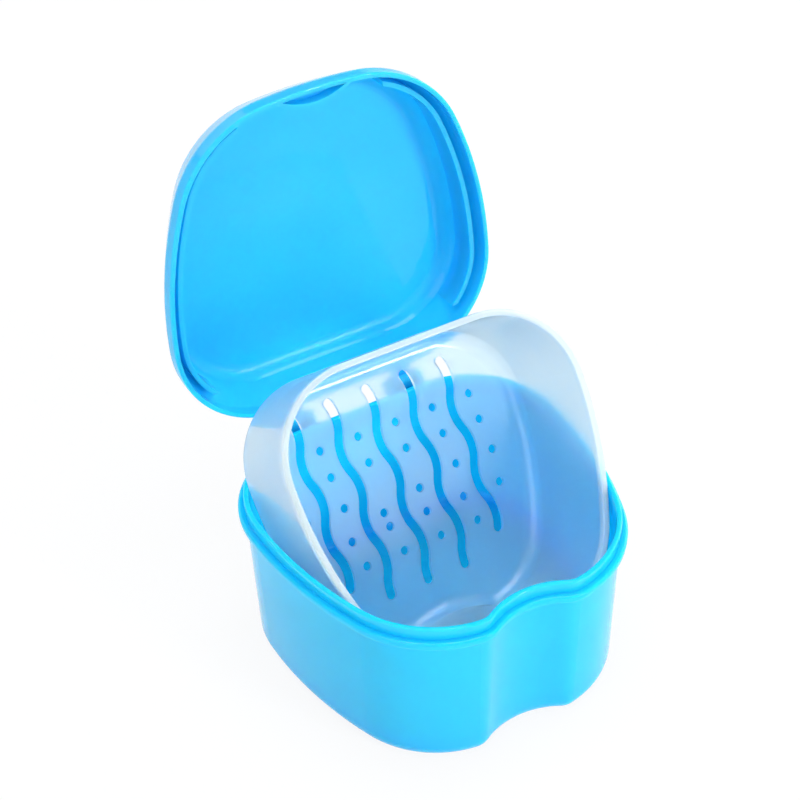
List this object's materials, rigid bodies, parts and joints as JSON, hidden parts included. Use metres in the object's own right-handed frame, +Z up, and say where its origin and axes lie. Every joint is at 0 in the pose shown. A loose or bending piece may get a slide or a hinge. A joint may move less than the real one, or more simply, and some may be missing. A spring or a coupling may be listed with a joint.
{
  "type": "denture case",
  "caption": "Hinged box with a domed lid and a lift-out strainer basket, shown propped in the open case for draining.",
  "frame": {"origin": "centre of the case's flat bottom", "axes": "+Z up, the thumb notch at the front towards -Y, the lid hinge at the back towards +Y, +X to the right"},
  "size_m": [0.09, 0.1132, 0.1336],
  "materials": {
    "blue_shell": "gloss",
    "blue_lid": "gloss",
    "frosted_basket": "frosted",
    "hinge_pins": "gloss"
  },
  "bodies": {
    "case": {"case": "blue_shell", "hinge_pin_left": "hinge_pins", "hinge_pin_right": "hinge_pins"},
    "lid": {"lid": "blue_lid"},
    "basket": {"basket": "frosted_basket"}
  },
  "joints": [
    {"name": "lid_hinge", "type": "hinge", "parent": "case", "child": "lid", "pos_m": [0, 0.0476, 0.0436], "axis": [-1, 0, 0], "range_deg": [-34, 0]},
    {"name": "basket_lift", "type": "slide", "parent": "case", "child": "basket", "axis": [0, 0, 1], "range_m": [0, 0.02]}
  ]
}
